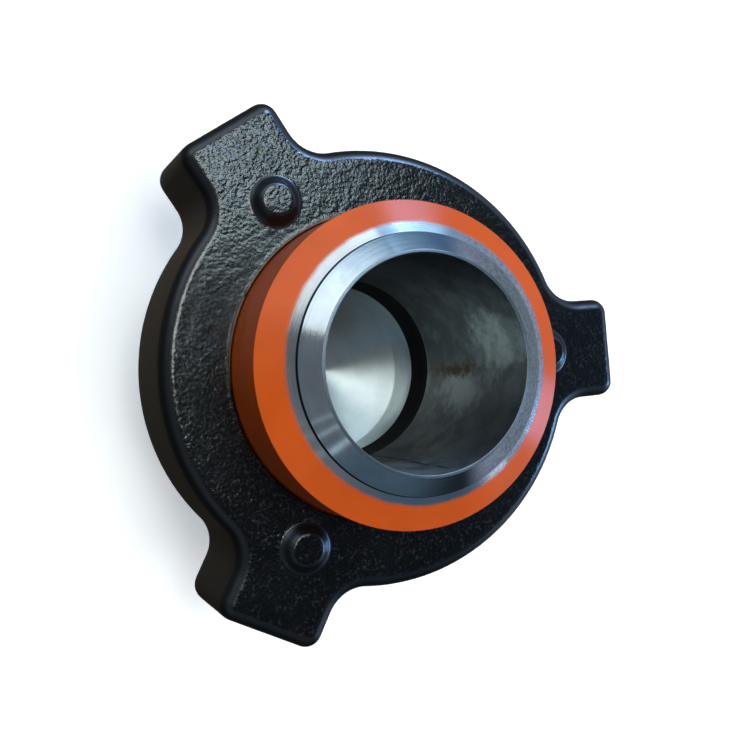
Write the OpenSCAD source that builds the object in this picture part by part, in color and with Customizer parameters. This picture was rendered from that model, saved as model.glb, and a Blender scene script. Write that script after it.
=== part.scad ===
// Hammer union, made up hand tight: a butt-weld male sub is clamped onto a blank
// female sub by a three-lug wing nut, with a lip seal ring between the two subs.
// The pipe axis is +Z. The blank sub's flat back stands on Z = 0, and its centre is the origin.
// One lug of the wing nut points along +X.

/* [Pipe] */
// Outside diameter of the pipe that is welded on
pipe_od = 88.9; // [84:0.1:94]
// Bore through the male sub
bore_d = 73.7; // [66:0.1:76]

/* [Weld end] */
// Width of the flat land at the root of the weld bevel
land_w = 1; // [0.8:0.1:2.4]
// Angle between the weld bevel and the plane of the pipe's end
bevel_angle = 35; // [30:0.5:40]
// Height of the short straight step under the bevel
step_h = 1.6; // [0.5:0.1:3]
// Angle between the shoulder cone and the plane of the pipe's end
shoulder_angle = 27.1; // [15:0.1:35]

/* [Male sub] */
// Length from the flat end of the nose to the land of the weld end
male_len = 81; // [78:0.1:100]
// Outside diameter of the hub that the wing nut turns on
hub_d = 113.4; // [108:0.1:116]
// Outside diameter of the collar that the wing nut pulls on
collar_d = 128.4; // [124:0.1:128.6]
// Height of the straight part of the collar
collar_h = 4.5; // [2:0.1:6]
// Radius of the ball-shaped nose
nose_r = 65.1; // [64:0.1:68]
// Outside diameter of the nose's flat end
nose_face_d = 88; // [84:0.1:90]
// Length of the nose from its flat end to the underside of the collar
nose_len = 19.9; // [18:0.1:21]

/* [Seal ring] */
// Height of the seal ring
seal_h = 14.7; // [12:0.1:17]
// Outside diameter of the seal ring above its bead
seal_od = 89.8; // [88:0.1:92]
// How far the lip stands into the bore at its lower edge
lip_in = 1.3; // [0.5:0.1:2.5]
// How far the retaining bead stands out of the seal ring
bead_out = 1.5; // [0.8:0.1:2.5]
// Height of the retaining bead
bead_h = 4.5; // [3:0.1:6]

/* [Blank female sub] */
// Thickness of the blind bottom
bottom_t = 25; // [18:0.5:35]
// Depth of the recess between the seal ring and the blind bottom
recess_depth = 19.5; // [8:0.5:30]
// Bevel at the foot of the recess
recess_bevel = 0.5; // [0.3:0.1:3]
// Half angle of the conical seat, from the axis
seat_angle = 36.4; // [34:0.1:38]
// Gap between the rim and the underside of the male sub's collar
rim_gap = 2.5; // [1:0.1:5]
// Height of the plain body below the thread
plain_h = 33; // [20:0.5:38]
// Width of the groove where the thread runs out
runout_w = 5; // [3:0.1:8]
// Chamfer round the flat back
back_chamfer = 2.5; // [1:0.1:5]

/* [Thread] */
// Outside diameter of the thread on the blank female sub
thread_d = 136.5; // [136:0.1:140]
// Pitch of the single-start right-hand thread
thread_pitch = 7.257; // [6:0.001:8]
// Share of the pitch that the depth of the thread takes
thread_depth_share = 0.5; // [0.45:0.01:0.5]
// Angle of each flank from square
flank_angle = 14.5; // [14.5:0.5:15]
// Clearance of the wing nut's thread on every side
thread_gap = 0.3; // [0.2:0.05:0.4]

/* [Wing nut] */
// Height of the wing nut
nut_h = 47.5; // [44:0.5:50]
// Diameter of the round body at the back
nut_d = 165; // [158:0.5:170]
// Distance from the axis to the end of each lug at the back
lug_reach = 105; // [100:0.5:110]
// Width of each lug at the back
lug_w = 42; // [34:0.5:46]
// Number of lugs
lug_count = 3; // [2:1:3]
// Radius of the hollow where a lug meets the body
lug_root_r = 13; // [8:0.5:20]
// Radius of a lug's corners on the front face; further back they grow with the rounded edge
lug_corner_r = 0.6; // [0.4:0.1:3]
// Radius that rounds the edges of the front and the back
edge_r = 5.2; // [3:0.1:5.5]
// How much the casting draft takes off each side from the back to the front
draft_in = 1; // [0:0.1:1.2]
// Thickness of the lip round the hole
lip_t = 8.1; // [6:0.1:12]
// Radial clearance between the hole and the hub
hole_gap = 0.6; // [0.3:0.1:1]
// Clearance between the collar and the wing nut, square to their faces
collar_gap = 0.3; // [0.2:0.05:0.5]
// Depth of the plain mouth at the back
mouth_depth = 2.5; // [1:0.1:5]
// Height of the groove above the thread
relief_h = 7; // [6.5:0.1:8]
// Height of the bore round the collar, between that groove and the inner cone
collar_bore_h = 4; // [2:0.1:5]

/* [Bosses] */
// Distance from the axis to the boss at the root of each lug
boss_reach = 71.5; // [70:0.5:76]
// Diameter of a boss at its foot
boss_foot_d = 19; // [12:0.1:20]
// Diameter of a boss at its top
boss_top_d = 10.4; // [8:0.1:12]
// Height of a boss above the front face
boss_h = 3.5; // [1:0.1:5]

/* [Hidden] */
$fn = 96;

// Overlap that lets a cut pass right through a face
cut = 1;
// Gap round the seal ring in its pocket
seal_gap = 0.1;
// Small bevel on turned corners, and the one round the rim
corner = 1;
rim_bevel = 1.5;
// Share of the pitch that the flat crest of a ridge takes
crest_share = 0.3707;
// Sides of the round faces that carry a thread
thread_sides = 72;
// Steps in each rounded edge of the wing nut
edge_steps = 5;
// Steps in each small arc of the wing nut's outline, and in each stretch of its round body
arc_steps = 6;
body_steps = 18;
// Part of a turn over which a thread ridge grows to its full depth
ramp_turn = 1 / 12;

bore_r = bore_d / 2;
hub_r = hub_d / 2;
collar_r = collar_d / 2;
seal_r = seal_od / 2;

// Heights of the stack, from the flat back up
seal_z = bottom_t + recess_depth;
nose_z = seal_z + seal_h;
collar_z = nose_z + nose_len;
rim_z = collar_z - rim_gap;
shoulder_z = collar_z + collar_h + collar_r - hub_r;
land_z = nose_z + male_len;

// Weld end: foot of the bevel, of the step and of the shoulder cone
bevel_z = land_z - (pipe_od / 2 - bore_r - land_w) * tan(bevel_angle);
step_z = bevel_z - step_h;
cone_z = step_z - (hub_r - pipe_od / 2) * tan(shoulder_angle);

// Ball centre of the nose, and the apex of the seat cone that clears it
ball_z = nose_z + sqrt(pow(nose_r, 2) - pow(nose_face_d / 2, 2));
seat_apex_z = ball_z - (nose_r + collar_gap) / sin(seat_angle);
pocket_r = seal_r + seal_gap;
seat_z = seat_apex_z + pocket_r / tan(seat_angle);
function seat_radius(z) = (z - seat_apex_z) * tan(seat_angle);

// Thread of the blank female sub, and the larger one that the wing nut is cut with
crest_r = thread_d / 2;
root_r = crest_r - thread_pitch * thread_depth_share - thread_gap / 2;
crest_half = thread_pitch * crest_share / 2;
nut_groove_r = crest_r + thread_gap;
nut_crest_r = root_r + thread_gap;
nut_groove_half = crest_half + thread_gap;
ridge_foot = ridge_half(crest_half, crest_r - root_r);
thread_low_z = plain_h + runout_w + ridge_foot;
thread_high_z = rim_z - rim_bevel - ridge_foot;

// The wing nut sits on the collar, clear of it by collar_gap
hole_r = hub_r + hole_gap;
collar_bore_r = collar_r + collar_gap;
nut_cone_z = shoulder_z + collar_gap * sqrt(2);
cone_foot_z = nut_cone_z - (collar_bore_r - hub_r);
lip_z = nut_cone_z - hole_gap;
nut_top_z = lip_z + lip_t;
nut_back_z = nut_top_z - nut_h;
nut_thread_z = nut_back_z + mouth_depth;
relief_r = nut_groove_r + thread_gap;
relief_top_z = cone_foot_z - collar_bore_h;
relief_z = relief_top_z - relief_h;
lug_back_r = lug_corner_r + edge_r + draft_in;

// Half height of a ridge at its foot, from its half height at the crest and its depth
function ridge_half(half, depth) = half + depth * tan(flank_angle);

// A height past low or high, drawn in so that it never reaches floor_z or roof_z
function drawn_in(z, low, high, floor_z, roof_z) =
    z > high ? high + (roof_z - high) * (z - high) / (roof_z + z - 2 * high) :
    z < low ? low - (low - floor_z) * (low - z) / (2 * low - floor_z - z) : z;

// A round bar from floor_z to roof_z with one helical ridge, from start_z to end_z. Each column
// of points holds the crossings of the ridge, four points each, and the last column joins the
// first one crossing higher up. The ridge has no depth past its two ends.
module threaded_bar(r, ridge_r, half, floor_z, roof_z, start_z, end_z, bevel = 0) {
    depth = ridge_r - r;
    foot = ridge_half(half, depth);
    levels = [-foot, -half, half, foot];
    first_z = thread_low_z + thread_pitch * floor((start_z - thread_low_z) / thread_pitch);
    turns = ceil((end_z - first_z) / thread_pitch) + 1;
    ramp = thread_pitch * ramp_turn;
    low_z = max(start_z - foot, floor_z + cut / 2);
    high_z = min(end_z + foot, roof_z - bevel - cut / 2);
    roof_rows = bevel > 0 ? [[r, roof_z - bevel], [r - bevel, roof_z]] : [[r, roof_z]];
    column = 4 * turns + 1 + len(roof_rows);
    rows = [
        for (side = [0:thread_sides - 1]) concat(
            [[r, floor_z]],
            [for (turn = [0:turns - 1], i = [0:3])
                let (
                    z = first_z + thread_pitch * (turn + side / thread_sides),
                    rise = max(0, min(1, (z - start_z) / ramp, (end_z - z) / ramp)),
                    out = (i == 1 || i == 2) ? depth * rise : 0
                )
                [r + out, drawn_in(z + levels[i], low_z, high_z, floor_z, roof_z - bevel)]],
            roof_rows
        )
    ];
    points = [
        for (side = [0:thread_sides - 1], row = rows[side])
            let (a = side * 360 / thread_sides)
            [row[0] * cos(a), row[0] * sin(a), row[1]]
    ];
    last = (thread_sides - 1) * column;
    top = 4 * turns;
    walls = [
        for (side = [0:thread_sides - 2], k = [0:column - 2])
            let (p = side * column + k, q = p + column)
            [p, p + 1, q + 1, q]
    ];
    seam = concat(
        [for (k = [1:top - 5]) [last + k, last + k + 1, k + 5, k + 4]],
        [for (k = [top + 1:1:column - 2]) [last + k, last + k + 1, k + 1, k]],
        [
            [last, last + 1, 5, 4, 3, 2, 1, 0],
            concat([top], [for (k = [top - 4:top + 1]) last + k], [top + 1])
        ]
    );
    ends = [
        [for (side = [0:thread_sides - 1]) side * column],
        [for (side = [thread_sides - 1:-1:0]) side * column + column - 1]
    ];
    polyhedron(points, concat(walls, seam, ends), convexity = 10);
}

// A round bar or cone between two heights, r_low at its foot and r_top at its top
module turned(low_z, high_z, r_low, r_top) {
    translate([0, 0, low_z])
        cylinder(h = high_z - low_z, r1 = r_low, r2 = r_top);
}

// A round bar between two heights
module bar(low_z, high_z, r) {
    turned(low_z, high_z, r, r);
}

// Points of an arc round centre, from angle a1 to a2
function arc(centre, r, a1, a2) = [
    for (i = [0:arc_steps])
        let (a = a1 + (a2 - a1) * i / arc_steps)
        centre + r * [cos(a), sin(a)]
];

function turn_points(points, a) = [
    for (p = points) [p.x * cos(a) - p.y * sin(a), p.x * sin(a) + p.y * cos(a)]
];

// Outline of the lug along +X and of the round body up to the next one, moved in by inset
function lug_outline(inset) =
    let (
        body = nut_d / 2 - inset,
        half = lug_w / 2 - inset,
        root = lug_root_r + inset,
        corner_r = lug_back_r - inset,
        corner_x = lug_reach - lug_back_r,
        corner_y = lug_w / 2 - lug_back_r,
        root_x = sqrt(pow(body + root, 2) - pow(half + root, 2)),
        root_a = atan2(half + root, root_x),
        body_a = 360 / lug_count - 2 * root_a
    )
    concat(
        arc([root_x, -half - root], root, 180 - root_a, 90),
        arc([corner_x, -corner_y], corner_r, -90, 0),
        arc([corner_x, corner_y], corner_r, 0, 90),
        arc([root_x, half + root], root, 270, 180 + root_a),
        [for (i = [1:body_steps - 1])
            let (a = root_a + body_a * i / body_steps)
            body * [cos(a), sin(a)]]
    );

function nut_outline(inset) = [
    for (lug = [0:lug_count - 1]) each turn_points(lug_outline(inset), lug * 360 / lug_count)
];

// Height and inset of each level of the casting: the rounded back edge, then the drafted
// sides, then the rounded front edge
function casting_levels() = concat(
    [for (i = [0:edge_steps])
        let (a = 90 * i / edge_steps)
        [nut_back_z + edge_r * (1 - cos(a)), edge_r * (1 - sin(a))]],
    [for (i = [edge_steps:-1:0])
        let (a = 90 * i / edge_steps)
        [nut_top_z - edge_r * (1 - cos(a)), edge_r * (1 - sin(a)) + draft_in]]
);

// The casting of the wing nut: its outline lofted through all levels, with both ends closed
// by triangles that meet on the axis
module nut_casting() {
    levels = casting_levels();
    rings = [for (level = levels) nut_outline(level[1])];
    count = len(rings[0]);
    points = concat(
        [for (i = [0:len(levels) - 1], p = rings[i]) [p.x, p.y, levels[i][0]]],
        [[0, 0, nut_back_z], [0, 0, nut_top_z]]
    );
    top = (len(levels) - 1) * count;
    walls = [
        for (i = [0:len(levels) - 2], k = [0:count - 1])
            let (p = i * count, next = (k + 1) % count)
            [p + k, p + count + k, p + count + next, p + next]
    ];
    ends = [
        for (k = [0:count - 1])
            let (next = (k + 1) % count)
            each [[top + count, k, next], [top + count + 1, top + next, top + k]]
    ];
    polyhedron(points, concat(walls, ends), convexity = 10);
}

// The blunt pip on the front face at the root of each lug
module bosses() {
    sunk = (boss_foot_d - boss_top_d) / boss_h * cut;
    for (lug = [0:lug_count - 1])
        rotate(lug * 360 / lug_count)
            translate([boss_reach, 0, nut_top_z - cut])
                cylinder(h = boss_h + cut, d1 = boss_foot_d + sunk, d2 = boss_top_d);
}

// Solid end cap: the wing nut screws onto its thread, and the nose seats in its cone
module blank_female_sub() {
    color([0.62, 0.63, 0.64])
    difference() {
        union() {
            turned(0, back_chamfer, crest_r - back_chamfer, crest_r);
            bar(back_chamfer, plain_h - corner, crest_r);
            turned(plain_h - corner, plain_h, crest_r, crest_r - corner);
            threaded_bar(root_r, crest_r, crest_half, bottom_t, rim_z,
                thread_low_z, thread_high_z, rim_bevel);
        }
        rotate_extrude()
            polygon([
                [0, bottom_t],
                [bore_r - recess_bevel, bottom_t],
                [bore_r, bottom_t + recess_bevel],
                [bore_r, seal_z],
                [pocket_r + bead_out, seal_z],
                [pocket_r + bead_out, seal_z + bead_h + seal_gap],
                [pocket_r, seal_z + bead_h + seal_gap],
                [pocket_r, seat_z],
                [seat_radius(rim_z + cut), rim_z + cut],
                [0, rim_z + cut]
            ]);
    }
}

// Moulded lip seal: its bead holds it in its groove, and its lip stands into the bore
module seal_ring() {
    bead_r = seal_r + bead_out;
    lip_r = bore_r - lip_in;
    color([0.03, 0.03, 0.03])
    rotate_extrude()
        polygon([
            [lip_r, seal_z + corner],
            [lip_r + corner, seal_z],
            [bead_r, seal_z],
            [bead_r, seal_z + bead_h - bead_out],
            [seal_r, seal_z + bead_h],
            [seal_r, nose_z - corner],
            [seal_r - corner, nose_z],
            [bore_r + corner / 2, nose_z],
            [bore_r, nose_z - corner / 2],
            [bore_r, nose_z - seal_h / 4]
        ]);
}

// Turned sub: ball nose, collar, hub for the wing nut and butt-weld end
module male_sub() {
    weld_r = pipe_od / 2;
    color([0.80, 0.33, 0.12])
    rotate_extrude()
        difference() {
            union() {
                intersection() {
                    translate([0, ball_z]) circle(nose_r);
                    translate([bore_r, nose_z]) square([collar_r - bore_r, nose_len + corner]);
                }
                polygon([
                    [bore_r, collar_z],
                    [collar_r - corner, collar_z],
                    [collar_r, collar_z + corner],
                    [collar_r, collar_z + collar_h],
                    [hub_r, shoulder_z],
                    [hub_r, cone_z],
                    [weld_r, step_z],
                    [weld_r, bevel_z],
                    [bore_r + land_w, land_z],
                    [bore_r, land_z]
                ]);
            }
            translate([0, nose_z - cut]) square([bore_r, male_len + 2 * cut]);
        }
}

// Cast three-lug nut: it turns on the hub and draws the collar down onto the seat
module wing_nut() {
    color([0.07, 0.07, 0.08])
    difference() {
        union() {
            nut_casting();
            bosses();
        }
        union() {
            threaded_bar(nut_crest_r, nut_groove_r, nut_groove_half,
                nut_back_z - 2 * thread_pitch, relief_top_z - cut,
                nut_back_z - thread_pitch, relief_z + relief_h / 2);
            rotate_extrude()
                polygon([
                    [0, nut_back_z - cut],
                    [relief_r, nut_back_z - cut],
                    [relief_r, nut_thread_z],
                    [nut_crest_r - cut, nut_thread_z],
                    [nut_crest_r - cut, relief_z],
                    [relief_r, relief_z],
                    [relief_r, relief_top_z],
                    [collar_bore_r, relief_top_z],
                    [collar_bore_r, cone_foot_z],
                    [hole_r, lip_z],
                    [hole_r, nut_top_z + cut],
                    [0, nut_top_z + cut]
                ]);
        }
    }
}

blank_female_sub();
seal_ring();
male_sub();
wing_nut();
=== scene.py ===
"""Hammer union, made up: wing nut, butt-weld male sub, seal ring and blank female sub.

Every piece is one closed surface, worked out on a grid of profile points by turns of the axis.
The pipe axis is Z, the flat back of the blank sub stands on Z = 0, and one lug points along X.
"""

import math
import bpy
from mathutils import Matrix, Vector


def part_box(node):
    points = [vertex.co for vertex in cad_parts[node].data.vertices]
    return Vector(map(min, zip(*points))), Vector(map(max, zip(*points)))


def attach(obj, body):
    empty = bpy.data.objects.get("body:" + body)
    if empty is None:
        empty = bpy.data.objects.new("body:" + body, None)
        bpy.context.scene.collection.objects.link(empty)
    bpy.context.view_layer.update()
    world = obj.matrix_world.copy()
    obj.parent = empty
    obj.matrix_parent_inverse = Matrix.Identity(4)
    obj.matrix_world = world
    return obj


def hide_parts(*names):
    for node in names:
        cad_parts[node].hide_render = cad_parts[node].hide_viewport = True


bl_info = {
    "name": "Hammer Union",
    "version": (1, 0, 0),
    "blender": (4, 5, 0),
    "location": "3D View > Sidebar > Hammer Union",
    "description": "Builds the visible pieces and finishes of a hammer union round its CAD frame",
    "category": "Object",
}

import bpy
import numpy as np
from bpy.props import FloatProperty, FloatVectorProperty, IntProperty, PointerProperty
from mathutils import Matrix, Vector

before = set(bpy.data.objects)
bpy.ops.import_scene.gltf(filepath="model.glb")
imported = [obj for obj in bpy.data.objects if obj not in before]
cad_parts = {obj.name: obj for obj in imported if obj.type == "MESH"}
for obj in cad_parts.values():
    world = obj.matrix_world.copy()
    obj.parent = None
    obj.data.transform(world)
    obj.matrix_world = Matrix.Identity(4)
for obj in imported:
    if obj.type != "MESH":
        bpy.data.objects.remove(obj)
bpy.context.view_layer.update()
BLANK_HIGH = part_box("blank_female_sub")[1]
SEAL_LOW, SEAL_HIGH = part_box("seal_ring")
MALE_LOW, MALE_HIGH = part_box("male_sub")
NUT_LOW, NUT_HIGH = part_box("wing_nut")

MM = 0.001
TURN = 2 * math.pi
MERGE = 0.0002 * MM  # points closer than this are one point

BLANK_SIDES, SEAL_SIDES, MALE_SIDES = 288, 256, 384  # faces round each turned piece

WAVE_SIZE, WAVE_SEED = 6 * MM, 11  # the low waves of the cast face

LINE_SLOPE = 0.7  # how far a turned line climbs for the same distance outwards


# ---------------------------------------------------------------------------------- sizes


def length(name, default, description):
    """A size in metres that shows as a distance in the panel."""
    return FloatProperty(
        name=name, description=description, default=default, min=0.0, precision=5,
        subtype="DISTANCE", unit="LENGTH",
    )


def share(name, default, description):
    """A number from 0 to 1 that shows as a slider in the panel."""
    return FloatProperty(name=name, description=description, default=default, min=0.0, max=1.0,
                         subtype="FACTOR")


def angle(name, degrees, description):
    """An angle, given in degrees and kept in radians."""
    return FloatProperty(name=name, description=description, default=math.radians(degrees),
                         subtype="ANGLE", unit="ROTATION")


def colour(name, default, description):
    """A colour of a finish, as linear red, green and blue."""
    return FloatVectorProperty(name=name, description=description, default=default, size=3,
                               min=0.0, max=1.0, subtype="COLOR")


class ThreadSizes(bpy.types.PropertyGroup):
    """Sizes of the coarse thread that the nut and the blank sub share."""

    pitch: length("Pitch", 7.257 * MM, "Rise of the single-start right-hand thread in one turn")
    gap: length("Clearance", 0.3 * MM, "Clearance of the nut's thread on every side")
    crest: share("Crest share", 0.3707, "Share of the pitch that the flat crest takes")
    flank: angle("Flank angle", 14.5, "Angle of each flank from square")
    edge_break: length("Edge break", 0.25 * MM, "Width of the broken edge along each crest")
    ramp: share("Run-in", 1 / 12, "Part of a turn over which a ridge grows to its full depth")


class BlankSubSizes(bpy.types.PropertyGroup):
    """Sizes of the closed, threaded sub."""

    bottom: length("Bottom", 25 * MM, "Thickness of the blind bottom")
    recess_bevel: length("Recess bevel", 0.5 * MM, "Bevel at the foot of the recess")
    seat_angle: angle("Seat angle", 36.4, "Half angle of the conical seat, from the axis")
    plain: length("Plain body", 33 * MM, "Height of the plain body below the thread")
    runout: length("Run-out groove", 5 * MM, "Width of the groove where the thread runs out")
    back_chamfer: length("Back chamfer", 2.5 * MM, "Chamfer round the flat back")
    rim_bevel: length("Rim bevel", 1.5 * MM, "Bevel round the rim")
    centre_mark: length("Centre mark", 2.2 * MM, "Radius of the mark left where facing ended")


class SealSizes(bpy.types.PropertyGroup):
    """Sizes of the lip seal ring."""

    outer_radius: length("Outer radius", 44.9 * MM, "Radius of the ring above its bead")
    lip: length("Lip", 1.3 * MM, "How far the lip stands into the bore")
    bead: length("Bead", 1.5 * MM, "How far the retaining bead stands out")
    bead_height: length("Bead height", 4.5 * MM, "Height of the retaining bead")
    gap: length("Gap", 0.1 * MM, "Gap round the ring in its pocket")


class MaleSubSizes(bpy.types.PropertyGroup):
    """Sizes of the butt-weld male sub."""

    pipe_radius: length("Pipe radius", 44.45 * MM, "Outside radius of the weld end")
    bore_radius: length("Bore radius", 36.85 * MM, "Radius of the bore")
    land: length("Land", 1.0 * MM, "Width of the flat land at the root of the weld bevel")
    bevel: angle("Bevel angle", 35, "Angle of the weld bevel from square")
    step: length("Step", 1.6 * MM, "Height of the short straight step under the bevel")
    shoulder: angle("Shoulder angle", 27.1, "Angle of the shoulder cone from square")
    hub_radius: length("Hub radius", 56.7 * MM, "Radius of the hub that the nut turns on")
    collar: length("Collar height", 4.5 * MM, "Height of the straight part of the collar")
    nose_radius: length("Nose radius", 65.1 * MM, "Radius of the ball-shaped nose")
    nose_face: length("Nose face", 44 * MM, "Radius of the nose's flat end")
    nose: length("Nose length", 19.9 * MM, "Length of the nose below the collar")
    paint_radius: length("Paint edge", 48.0 * MM, "Radius where the paint ends on the shoulder")
    mask_offset: length("Mask offset", 0.6 * MM, "How far the round spray mask sat off centre")
    mask_bearing: angle("Mask bearing", 35, "Bearing in which the spray mask sat off centre")
    brown_angle: angle("Stain bearing", -6, "Bearing of the brown stain in the bore")
    brown_height: length("Stain height", 84 * MM, "Height of the brown stain in the bore")


class WingNutSizes(bpy.types.PropertyGroup):
    """Sizes of the three-lug wing nut."""

    body_radius: length("Body radius", 82.5 * MM, "Radius of the round body at the back")
    lug_width: length("Lug width", 42 * MM, "Width of each lug at the back")
    lug_count: IntProperty(name="Lugs", description="Number of lugs", default=3, min=2, max=4)
    root_radius: length("Root radius", 13 * MM, "Radius of the hollow between lug and body")
    corner_radius: length("Lug corner", 0.6 * MM, "Radius of a lug's corners on the front face")
    edge_radius: length("Edge radius", 5.2 * MM, "Radius that rounds the front and back edges")
    draft: length("Draft", 1.0 * MM, "What the casting draft takes off each side")
    hole_radius: length("Hole radius", 57.3 * MM, "Radius of the hole that the hub stands in")
    lip: length("Lip", 8.1 * MM, "Thickness of the lip round the hole")
    mouth: length("Mouth", 2.5 * MM, "Depth of the plain mouth at the back")
    relief: length("Relief height", 7 * MM, "Height of the groove above the thread")
    collar_bore: length("Collar bore", 4 * MM, "Height of the bore round the collar")
    collar_gap: length("Collar gap", 0.3 * MM, "Clearance between collar and nut")
    boss_reach: length("Boss reach", 71.5 * MM, "Distance from the axis to each boss")
    boss_foot: length("Boss foot", 9.5 * MM, "Radius of a boss at its foot")
    boss_top: length("Boss top", 5.2 * MM, "Radius of a boss at its top")
    boss_height: length("Boss height", 3.5 * MM, "Height of a boss above the front face")
    grain: length("Grain", 0.05 * MM, "Height of the waves that the sand mould left on the face")


class UnionColours(bpy.types.PropertyGroup):
    """Colours of the finishes, as linear values."""

    orange: colour("Orange", (0.55, 0.080, 0.006), "Paint on the shoulder and hub")
    black: colour("Black", (0.0017, 0.0020, 0.0024), "Paint on the wing nut")
    bright_steel: colour("Bright steel", (0.42, 0.45, 0.47), "Freshly turned steel")
    bore_steel: colour("Bore steel", (0.36, 0.385, 0.38), "Dull steel in the bore")
    stain: colour("Stain", (0.095, 0.048, 0.022), "Brown stain in the bore")
    # Colour of the scores in the bore, and also of the painted shadow in the corner under the
    # weld bevel.
    grime_and_shade: colour("Grime", (0.022, 0.026, 0.032), "Dirt in the corner under the weld bevel")
    rubber: colour("Rubber", (0.003, 0.0034, 0.0032), "Seal ring")
    floor: colour("Floor", (0.90, 0.90, 0.90), "Studio floor")


# --------------------------------------------------------------------------------- shapes


def rounded(corners, steps=4, hold=0.25 * MM, closed=False):
    """A profile through corners, rows of radius, height and edge radius.

    Each corner is replaced by the arc of its edge radius that touches both of its sides: the
    tangent length is edge radius times tan(half the turn), and an arc point is the centre plus
    the edge radius times the direction found by turning evenly from one side's normal to the
    other's. Two points hold each straight close to its arcs, so that shading stays on the arc.
    """
    c = np.asarray(corners, float)
    p, edge = c[:, :2], c[:, 2]
    before, after = np.roll(p, 1, axis=0), np.roll(p, -1, axis=0)
    if not closed:
        before[0], after[-1] = 2 * p[0] - p[1], 2 * p[-1] - p[-2]
        edge = edge.copy()
        edge[[0, -1]] = 0.0
    u, v = p - before, after - p
    room = np.minimum(np.linalg.norm(u, axis=1), np.linalg.norm(v, axis=1)) * 0.45
    u /= np.linalg.norm(u, axis=1, keepdims=True)
    v /= np.linalg.norm(v, axis=1, keepdims=True)
    turn = np.arctan2(u[:, 0] * v[:, 1] - u[:, 1] * v[:, 0], (u * v).sum(axis=1))
    reach = np.minimum(edge * np.tan(np.abs(turn) / 2), room)
    radius = reach / np.maximum(np.tan(np.abs(turn) / 2), 1e-9)
    side = np.sign(turn)[:, None] * np.stack([-u[:, 1], u[:, 0]], axis=1)
    start = p - u * reach[:, None]
    centre = start + side * radius[:, None]
    t = np.linspace(0.0, 1.0, steps + 1)[None, :] * turn[:, None]
    arm = -side
    arc = centre[:, None, :] + radius[:, None, None] * np.stack(
        [arm[:, None, 0] * np.cos(t) - arm[:, None, 1] * np.sin(t),
         arm[:, None, 0] * np.sin(t) + arm[:, None, 1] * np.cos(t)], axis=-1)
    nxt = np.roll(arc[:, 0], -1, axis=0)
    straight = nxt - arc[:, -1]
    size = np.linalg.norm(straight, axis=1, keepdims=True)
    off = straight * np.minimum(hold / np.maximum(size, 1e-9), 0.3)
    rows = np.concatenate([arc, (arc[:, -1] + off)[:, None], (nxt - off)[:, None]], axis=1)
    points = rows.reshape(-1, 2)
    return np.concatenate([points, points[:1]]) if closed else points[:-2]


def turned(profile, sides):
    """The profile carried round the axis: x = r cos a, y = r sin a, z as it is."""
    a = np.linspace(0.0, TURN, sides + 1)
    a[-1] = 0.0
    return around(profile[:, :1], profile[:, 1:2], a[None, :])


def around(r, z, a):
    """Grid points at radius r, height z and bearing a."""
    x, y, z = np.broadcast_arrays(r * np.cos(a), r * np.sin(a), z + 0.0 * a)
    return np.stack([x, y, z], axis=-1)


def thread_rows(t, bearing, core, crest, crest_half, zero, low, high, start=None, end=None):
    """Radius and height of a one-start thread, as rows of crossings by columns of bearings.

    A crossing's middle stands at zero plus pitch times (whole turns + bearing / one turn). Its
    rows stand off that middle by the offsets where the ridge's outline bends: foot, crest edge
    and the broken corner between them. Rows past low or high are drawn to that height. The
    radius is core plus depth times the outline's height there, read off at the row's distance
    from the middle, and times a rise that runs from 0 to 1 past start and back to 0 before end.
    """
    depth = crest - core
    foot = crest_half + abs(depth) * math.tan(t.flank)
    bend = t.edge_break
    far, near = bend * 0.5, bend * 0.3
    low_break, high_break = 0.06, 0.94
    outline = np.array([
        [-foot - far, 0.0], [-foot + near, low_break],
        [-crest_half - near, high_break], [-crest_half + far, 1.0],
        [crest_half - far, 1.0], [crest_half + near, high_break],
        [foot - near, low_break], [foot + far, 0.0]])
    first = math.floor((low - zero) / t.pitch) - 2
    last = math.ceil((high - zero) / t.pitch) + 1
    turns = np.repeat(np.arange(first, last + 1), len(outline))
    offset = np.tile(outline[:, 0], last + 1 - first)
    middle = zero + t.pitch * (turns[:, None] + bearing[None, :] / TURN)
    z = np.clip(middle + offset[:, None], low, high)
    along = (z - zero - t.pitch * bearing[None, :] / TURN + t.pitch / 2) % t.pitch - t.pitch / 2
    height = np.interp(along, outline[:, 0], outline[:, 1])
    if start is not None:
        ramp = t.pitch * t.ramp
        height = height * np.clip(np.minimum(middle - start, end - middle) / ramp, 0.0, 1.0)
    return core + depth * height, z


def waves(points, size, seed, count=28):
    """A smooth random height about 0, up to about 1.

    It is the mean of sine waves of about one length, each with its own seeded direction and
    phase, times the root of 2.
    """
    draw = np.random.default_rng(seed)
    aim = draw.normal(size=(count, 3))
    aim /= np.linalg.norm(aim, axis=1, keepdims=True)
    number = TURN / size * draw.uniform(0.6, 1.7, count)
    phase = draw.uniform(0, TURN, count)
    return np.sin(points @ (aim * number[:, None]).T + phase).mean(axis=-1) * math.sqrt(2)


def smooth(x, low, high):
    """0 below low, 1 above high, and the cubic 3t^2 - 2t^3 between."""
    t = np.clip((x - low) / (high - low), 0.0, 1.0)
    return t * t * (3 - 2 * t)


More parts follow.
